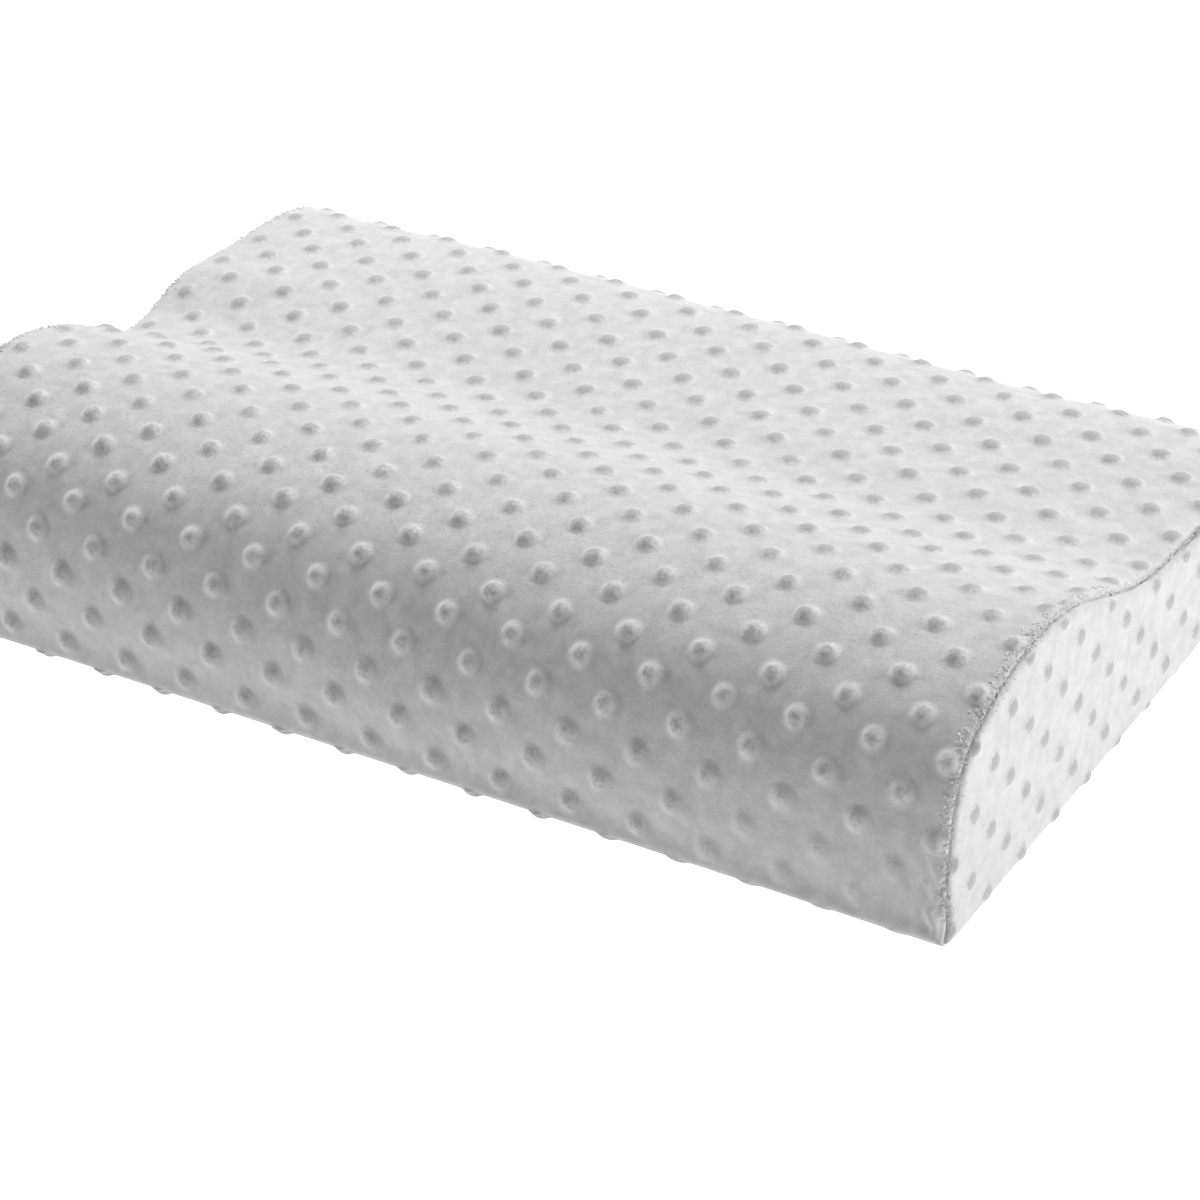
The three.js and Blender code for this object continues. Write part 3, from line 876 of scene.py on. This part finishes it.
def addTeeth(word, direction):
    # one loop of the coil, bent round its cord, then repeated along the tape
    node = f"zip_coil_{word}"
    low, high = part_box(node)
    middle = nodeMiddle(node)
    outer = high[2] - zipHeight if direction > 0 else zipHeight - low[2]
    halfReach = (outer + zipLook["reachPastMiddle"]) / 2 - zipLook["toothWire"]
    halfRise = (high[1] - low[1]) / 2 - zipLook["toothWire"]
    bm = bmesh.new()
    ring = bmesh.ops.create_circle(bm, segments=zipLook["toothSides"], radius=zipLook["toothWire"])
    bmesh.ops.transform(bm, matrix=Matrix.Translation((0, halfRise, 0)), verts=ring["verts"])
    bmesh.ops.spin(bm, geom=bm.verts[:] + bm.edges[:], cent=(0, 0, 0), axis=(1, 0, 0), angle=math.tau,
                   steps=zipLook["toothSteps"], use_merge=True)
    for vert in bm.verts:
        # the round loop is drawn out into a long one with a blunt head
        vert.co.z += math.copysign(min(abs(vert.co.z) * 2, 1) * (halfReach - halfRise), vert.co.z)
    bmesh.ops.recalc_face_normals(bm, faces=bm.faces)
    lean = Matrix.Rotation(math.radians(zipLook["toothLean"] * direction), 4, "Y")
    start = low[0] + toothPitch * (0.5 if direction > 0 else 1.0)
    centre = Vector((start, middle.y, zipHeight + direction * (outer - halfReach - zipLook["toothWire"])))
    bmesh.ops.transform(bm, matrix=Matrix.Translation(centre) @ lean, verts=bm.verts)
    obj = newObject(f"zip_teeth_{word}", bm)
    rowOf = obj.modifiers.new("row", "ARRAY")
    rowOf.count = int((high[0] - start) / toothPitch) + 1
    rowOf.use_relative_offset = False
    rowOf.use_constant_offset = True
    rowOf.constant_offset_displace = (toothPitch, 0, 0)
    applyModifiers(obj)
    shadeSmooth(obj)
    standFor(obj, "pillow", node)
    return obj


def weaveGrid(columns, rows):
    bm = bmesh.new()
    bm.loops.layers.uv.new("weave")
    bmesh.ops.create_grid(bm, x_segments=columns, y_segments=rows, size=0.5, calc_uvs=True)
    return bm


def thicken(name, bm, thickness):
    # the sheet is turned to face the back, and its wall goes on that side
    bmesh.ops.recalc_face_normals(bm, faces=bm.faces)
    if bm.faces[:][0].normal.y < 0:
        bmesh.ops.reverse_faces(bm, faces=bm.faces)
    obj = newObject(name, bm)
    wall = obj.modifiers.new("wall", "SOLIDIFY")
    wall.thickness = thickness
    wall.offset = 1
    applyModifiers(obj)
    shadeSmooth(obj)
    return obj


def addTape(word, direction):
    # a woven strip, thicker along the corded edge that carries the teeth
    node = f"zip_tape_{word}"
    low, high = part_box(node)
    bm = weaveGrid(zipLook["tapeColumns"], zipLook["tapeRows"])
    for vert in bm.verts:
        across, over = vert.co.x + 0.5, vert.co.y + 0.5
        fromTeeth = over if direction > 0 else 1 - over
        ripple = zipLook["ripple"] * math.sin(across * zipLook["ripples"]) * fromTeeth
        cord = zipLook["cordHeight"] * math.exp(-(fromTeeth / zipLook["cordSpread"]) ** 2)
        middle = (low[1] + high[1]) / 2 - zipLook["tapeThickness"] / 2
        vert.co = (low[0] + across * (high[0] - low[0]),
                   middle + cord * zipLook["cordFront"] + ripple,
                   low[2] + over * (high[2] - low[2]))
    obj = thicken(f"zip_tape_cloth_{word}", bm, zipLook["tapeThickness"])
    standFor(obj, "pillow", node)
    return obj


def addCast(node, name, body, bevel):
    # the CAD shape with its arrises rounded as a casting's are
    bm = bmesh.new()
    bm.from_mesh(nodes[node].data)
    bmesh.ops.remove_doubles(bm, verts=bm.verts, dist=1e-6)
    bmesh.ops.dissolve_limit(bm, angle_limit=math.radians(zipLook["flatWithin"]), verts=bm.verts,
                             edges=bm.edges)
    arris = math.radians(zipLook["arrisFrom"])
    sharp = [e for e in bm.edges if len(e.link_faces) == 2 and e.calc_face_angle() > arris]
    bmesh.ops.bevel(bm, geom=sharp, offset=bevel, offset_type="OFFSET", segments=2, profile=0.5,
                    affect="EDGES", material=-1, clamp_overlap=True)
    obj = newObject(name, bm)
    obj.data.materials.clear()
    shadeSmooth(obj)
    obj.data.set_sharp_from_angle(angle=math.radians(zipLook["creaseFrom"]))
    standFor(obj, body, node)
    return obj


teeth = [addTeeth("upper", 1), addTeeth("lower", -1)]
tapes = [addTape("upper", 1), addTape("lower", -1)]
castings = [
    addCast("zip_slider_body", "zip_slider_cast", "zip_slider", zipLook["castBevel"]),
    addCast("zip_pull_tab", "zip_pull", "zip_pull", zipLook["pullBevel"]),
    addCast("zip_top_stop_upper", "zip_stop_upper", "pillow", zipLook["castBevel"]),
    addCast("zip_top_stop_lower", "zip_stop_lower", "pillow", zipLook["castBevel"]),
    addCast("zip_bottom_stop", "zip_stop_bottom", "pillow", zipLook["castBevel"]),
]
report("zip done")


# Care label: a blank strip of satin caught under the zip's lower row of stitches

labelLook = dict(
    columns=44, rows=28, thickness=0.0003,
    hem=0.0022, hemRise=0.0002,
    standOff=0.0004,       # behind the label, where it leaves the stitches
    lean=0.0022,           # how far it then hangs away, over the dots
    curl=0.0010,
    drop=0.985,            # share of its height that it covers, because it curls
)


def addLabel():
    low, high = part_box("care_label")
    bm = weaveGrid(labelLook["columns"], labelLook["rows"])
    for vert in bm.verts:
        across, down = vert.co.x + 0.5, 0.5 - vert.co.y
        fromSide = min(across, 1 - across) * (high[0] - low[0])
        hem = labelLook["hemRise"] * float(smoothStep(labelLook["hem"] + 0.0003, labelLook["hem"], fromSide))
        # one slow wave across, and the lower edge turning outwards
        wave = math.sin(across * 5.2 + 0.6) * down ** 1.5 * 0.6 + max(0, down - 0.75) ** 2 * 9
        out = labelLook["standOff"] + labelLook["lean"] * float(smoothStep(0, 0.35, down))
        vert.co = (low[0] + across * (high[0] - low[0]),
                   backFace + out + labelLook["curl"] * wave + hem,
                   high[2] - down * (high[2] - low[2]) * labelLook["drop"])
    obj = thicken("care_label_satin", bm, labelLook["thickness"])
    standFor(obj, "pillow", "care_label")
    return obj


careLabel = addLabel()


# Materials

def newMaterial(name):
    material = bpy.data.materials.new(name)
    material.use_nodes = True
    return material, material.node_tree, material.node_tree.nodes["Principled BSDF"]


def setInputs(node, **values):
    # an underscore in a name stands for the space in a socket's name
    for key, value in values.items():
        node.inputs[key.replace("_", " ")].default_value = value


def wire(tree, *wires):
    # each wire is a node, its output, the next node and its input
    for start, output, end, entry in wires:
        tree.links.new(start.outputs[output], end.inputs[entry])


def addNode(tree, kind, **values):
    node = tree.nodes.new("ShaderNode" + kind)
    for key, value in values.items():
        if key in node.inputs:
            node.inputs[key].default_value = value
        else:
            setattr(node, key, value)
    return node


def newGroup(name, numbers, results):
    # every group takes a place and some numbers
    group = bpy.data.node_groups.new(name, "ShaderNodeTree")
    group.interface.new_socket("Vector", in_out="INPUT", socket_type="NodeSocketVector")
    for way, sockets in (("INPUT", numbers), ("OUTPUT", results)):
        for socket in sockets:
            group.interface.new_socket(socket, in_out=way, socket_type="NodeSocketFloat")
    return group, group.nodes.new("NodeGroupInput"), group.nodes.new("NodeGroupOutput")


def fibreGroup():
    # short fibres: fine height for bump, and soft patches where the pile leans another way
    group, source, result = newGroup("fibreNap", ("Fibre Scale", "Patch Scale"), ("Height", "Patch"))
    fibre = addNode(group, "TexNoise", Detail=4.0, Roughness=0.7)
    patch = addNode(group, "TexNoise", Detail=3.0, Roughness=0.6, Distortion=0.3)
    spread = addNode(group, "MapRange")
    setInputs(spread, From_Min=0.30, From_Max=0.70)
    wire(group,
         (source, "Vector", fibre, "Vector"), (source, "Fibre Scale", fibre, "Scale"),
         (source, "Vector", patch, "Vector"), (source, "Patch Scale", patch, "Scale"),
         (patch, "Fac", spread, "Value"), (fibre, "Fac", result, "Height"),
         (spread, "Result", result, "Patch"))
    return group


def weaveGroup():
    # two sets of threads that pass over and under one another
    group, source, result = newGroup("threadWeave", ("Across", "Along"), ("Height",))
    split = addNode(group, "SeparateXYZ")
    wire(group, (source, "Vector", split, "Vector"))
    waves = []
    for axis, count in (("X", "Across"), ("Y", "Along")):
        turn = addNode(group, "Math", operation="MULTIPLY")
        wave = addNode(group, "Math", operation="SINE")
        wire(group, (split, axis, turn, 0), (source, count, turn, 1), (turn, "Value", wave, 0))
        waves.append(wave)
    both = addNode(group, "Math", operation="MULTIPLY")
    lifted = addNode(group, "Math", operation="ABSOLUTE")
    wire(group, (waves[0], "Value", both, 0), (waves[1], "Value", both, 1),
         (both, "Value", lifted, 0), (lifted, "Value", result, "Height"))
    return group


fibreNap = fibreGroup()
threadWeave = weaveGroup()


def useGroup(tree, group, **values):
    node = addNode(tree, "Group", node_tree=group)
    setInputs(node, **values)
    return node


def mixColors(tree, low, high, mask):
    mix = addNode(tree, "Mix", data_type="RGBA")
    mix.inputs[6].default_value = low
    mix.inputs[7].default_value = high
    tree.links.new(mask, mix.inputs["Factor"])
    return mix.outputs[2]


def bumpFrom(tree, shader, height, strength, distance):
    bump = addNode(tree, "Bump", Strength=strength, Distance=distance)
    tree.links.new(height, bump.inputs["Height"])
    tree.links.new(bump.outputs["Normal"], shader.inputs["Normal"])


velourLook = dict(
    # the third tone is painted shade laid over the dots; the two numbers after it set where on a dot it falls
    # and how strongly
    pale=grey(0.67), deep=grey(0.55), dot=grey(0.36),
    dotShadeSpan=(0.22, 0.62), dotShadeStrength=0.66, sheen=0.45, bump=0.42,
    fibreScale=850.0, patchScale=150.0, bumpDistance=0.0007,
    ragScale=560.0, rag=1.3,     # how finely and how far the pile breaks up the outline of a dot's painted shade
)


def velourMaterial():
    material, tree, shader = newMaterial("raised_dot_velour")
    place = addNode(tree, "TexCoord")
    nap = useGroup(tree, fibreNap, Fibre_Scale=velourLook["fibreScale"], Patch_Scale=velourLook["patchScale"])
    tone = mixColors(tree, velourLook["deep"], velourLook["pale"], nap.outputs["Patch"])
    # painted shade: the colour is mixed towards the dark tone where the panels' attribute says, standing in
    # for the shade on the dots' sides away from the light
    rise = addNode(tree, "Attribute", attribute_name="dotShadeAndMatting")
    rag = addNode(tree, "TexNoise", Scale=velourLook["ragScale"], Detail=2.0)
    ragged = addNode(tree, "Math", operation="MULTIPLY_ADD")
    ragged.inputs[1].default_value = velourLook["rag"]
    dotShade = addNode(tree, "MapRange")
    low, high = (edge + velourLook["rag"] / 2 for edge in velourLook["dotShadeSpan"])
    setInputs(dotShade, From_Min=low, From_Max=high, To_Max=velourLook["dotShadeStrength"])
    dotted = addNode(tree, "Mix", data_type="RGBA")
    dotted.inputs[7].default_value = velourLook["dot"]
    tree.links.new(tone, dotted.inputs[6])
    wire(tree,
         (place, "Object", nap, "Vector"), (place, "Object", rag, "Vector"),
         (rag, "Fac", ragged, 0), (rise, "Fac", ragged, 2), (ragged, "Value", dotShade, "Value"),
         (dotShade, "Result", dotted, "Factor"), (dotted, 2, shader, "Base Color"))
    bumpFrom(tree, shader, nap.outputs["Height"], velourLook["bump"], velourLook["bumpDistance"])
    setInputs(shader, Roughness=0.95, Specular_IOR_Level=0.15, Sheen_Weight=velourLook["sheen"],
              Sheen_Roughness=0.5)
    return material


clothLook = dict(fibreScale=1400.0, patchScale=120.0, threadShare=0.65, fibreShare=0.35, bumpDistance=0.0002)


def clothMaterial(name, low, high, across, along, useUv, bump, roughness, sheen=0.0, specular=0.3):
    # woven or knitted cloth: threads from the piece's own map, fibres on top
    material, tree, shader = newMaterial(name)
    place = addNode(tree, "TexCoord")
    weave = useGroup(tree, threadWeave, Across=across, Along=along)
    nap = useGroup(tree, fibreNap, Fibre_Scale=clothLook["fibreScale"], Patch_Scale=clothLook["patchScale"])
    mask = addNode(tree, "Math", operation="MULTIPLY_ADD")
    mask.inputs[1].default_value = clothLook["threadShare"]
    fibres = addNode(tree, "Math", operation="MULTIPLY")
    fibres.inputs[1].default_value = clothLook["fibreShare"]
    wire(tree,
         (place, "UV" if useUv else "Object", weave, "Vector"), (place, "Object", nap, "Vector"),
         (weave, "Height", mask, 0), (nap, "Patch", fibres, 0), (fibres, "Value", mask, 2))
    tree.links.new(mixColors(tree, low, high, mask.outputs["Value"]), shader.inputs["Base Color"])
    bumpFrom(tree, shader, weave.outputs["Height"], bump, clothLook["bumpDistance"])
    setInputs(shader, Roughness=roughness, Specular_IOR_Level=specular, Sheen_Weight=sheen)
    return material


def speckledMaterial(name, low, high, scale, bump, roughness, metallic=0.0):
    # cast metal, moulded nylon and foam: fine grain that also varies the gloss
    material, tree, shader = newMaterial(name)
    place = addNode(tree, "TexCoord")
    nap = useGroup(tree, fibreNap, Fibre_Scale=scale, Patch_Scale=scale * 0.2)
    gloss = addNode(tree, "MapRange")
    setInputs(gloss, To_Min=roughness[0], To_Max=roughness[1])
    wire(tree,
         (place, "Object", nap, "Vector"), (nap, "Patch", gloss, "Value"),
         (gloss, "Result", shader, "Roughness"))
    tree.links.new(mixColors(tree, low, high, nap.outputs["Patch"]), shader.inputs["Base Color"])
    bumpFrom(tree, shader, nap.outputs["Height"], bump, 0.0002)
    setInputs(shader, Metallic=metallic)
    return material


def dress(pieces, material):
    for piece in pieces:
        piece.data.materials.clear()
        piece.data.materials.append(material)


dress(coverPieces.values(), velourMaterial())
# painted light: the tufts are toned lighter than the cover's velour, standing in for light through the
# backlit fibres
dress(seamPile, speckledMaterial(
    "loose_pile_painted_light", grey(0.70), grey(0.86), 1500.0, 0.2, (0.9, 1.0)))
dress(linerPieces.values(), clothMaterial(
    "liner_jersey_knit", (0.62, 0.61, 0.58, 1), (0.86, 0.85, 0.82, 1),
    across=5200.0, along=6400.0, useUv=True, bump=0.5, roughness=0.9, sheen=0.2))
dress([foamBlock], speckledMaterial(
    "core_memory_foam", (0.80, 0.76, 0.64, 1), (0.90, 0.87, 0.76, 1), 1500.0, 0.6, (0.9, 1.0)))
dress(stitches, clothMaterial(
    "polyester_thread", grey(0.50), grey(0.78),
    across=9000.0, along=9000.0, useUv=False, bump=0.5, roughness=0.6, sheen=0.2))
dress(teeth, speckledMaterial(
    "zip_nylon_wire", grey(0.66), grey(0.76), 2500.0, 0.1, (0.32, 0.45)))
dress(tapes, clothMaterial(
    "zip_tape_weave", grey(0.44), grey(0.70),
    across=2900.0, along=110.0, useUv=True, bump=0.7, roughness=0.8, sheen=0.1))
dress(castings, speckledMaterial(
    "zip_cast_metal", (0.52, 0.52, 0.53, 1), (0.66, 0.66, 0.67, 1), 1800.0, 0.12, (0.24, 0.42), metallic=1.0))
dress([careLabel], clothMaterial(
    "label_blank_satin", (0.54, 0.54, 0.53, 1), (0.68, 0.68, 0.67, 1),
    across=260.0, along=520.0, useUv=True, bump=0.35, roughness=0.38, specular=0.5))
report("materials done")


# Studio: a pale floor, soft light and the camera

studio = dict(
    floorSize=8.0,
    floorTone=grey(0.50),
    floorGlow=0.76,      # light that the floor gives back
    floorSeen=0.90,      # keeps the floor pale where the pillow shades it
    worldStrength=0.05,
    # where each lamp stands, what it aims at, its power and its size
    lights=dict(
        key_light=((2.0, 0.35, 0.66), (0, 0, 0.04), 31, 1.0),
        top_light=((-0.50, 1.05, 1.50), (0, 0, 0.04), 40, 1.0),
        fill_light=((-2.2, -0.95, 0.30), (0, 0, 0.04), 26, 0.9),
        low_light=((0.50, -1.20, 0.12), (0.22, -0.15, 0.0), 0.8, 0.4),
    ),
)
cameraSet = dict(
    place=(0.716, -0.998, 0.794),
    azimuth=35.57, elevation=33.24, roll=-5.31,
    lens=103.9, sensor=36.0,
)


def addArea(name, place, aim, power, size):
    data = bpy.data.lights.new(name, "AREA")
    data.energy = power
    data.size = size
    light = bpy.data.objects.new(name, data)
    light.location = place
    light.rotation_euler = (Vector(aim) - Vector(place)).to_track_quat("-Z", "Y").to_euler()
    bpy.context.collection.objects.link(light)


def addStudio():
    bm = bmesh.new()
    bmesh.ops.create_grid(bm, x_segments=1, y_segments=1, size=studio["floorSize"] / 2)
    floor = newObject("studio_floor", bm)
    material, tree, shader = newMaterial("studio_white")
    setInputs(shader, Base_Color=studio["floorTone"], Roughness=1.0, Emission_Color=(1, 1, 1, 1))
    seen = addNode(tree, "LightPath")
    glow = addNode(tree, "MapRange")
    setInputs(glow, To_Min=studio["floorGlow"], To_Max=studio["floorSeen"])
    wire(tree, (seen, "Is Camera Ray", glow, "Value"), (glow, "Result", shader, "Emission Strength"))
    floor.data.materials.append(material)
    for name, lamp in studio["lights"].items():
        addArea(name, *lamp)
    world = bpy.data.worlds.new("studio_air")
    world.use_nodes = True
    air = world.node_tree.nodes["Background"]
    setInputs(air, Color=(1, 1, 1, 1))
    backdrop = addNode(world.node_tree, "LightPath")
    strength = addNode(world.node_tree, "MapRange")
    setInputs(strength, To_Min=studio["worldStrength"])
    wire(world.node_tree,
         (backdrop, "Is Camera Ray", strength, "Value"), (strength, "Result", air, "Strength"))
    bpy.context.scene.world = world
    bpy.context.scene.view_settings.view_transform = "Standard"


def addCamera():
    data = bpy.data.cameras.new("front_camera")
    data.lens = cameraSet["lens"]
    data.sensor_width = cameraSet["sensor"]
    camera = bpy.data.objects.new("front_camera", data)
    turn = Matrix.Rotation(math.radians(cameraSet["azimuth"]), 4, "Z")
    tilt = Matrix.Rotation(math.radians(90 - cameraSet["elevation"]), 4, "X")
    roll = Matrix.Rotation(math.radians(cameraSet["roll"]), 4, "Z")
    camera.matrix_world = Matrix.Translation(cameraSet["place"]) @ turn @ tilt @ roll
    bpy.context.collection.objects.link(camera)
    bpy.context.scene.camera = camera


addStudio()
addCamera()
report("studio ready")
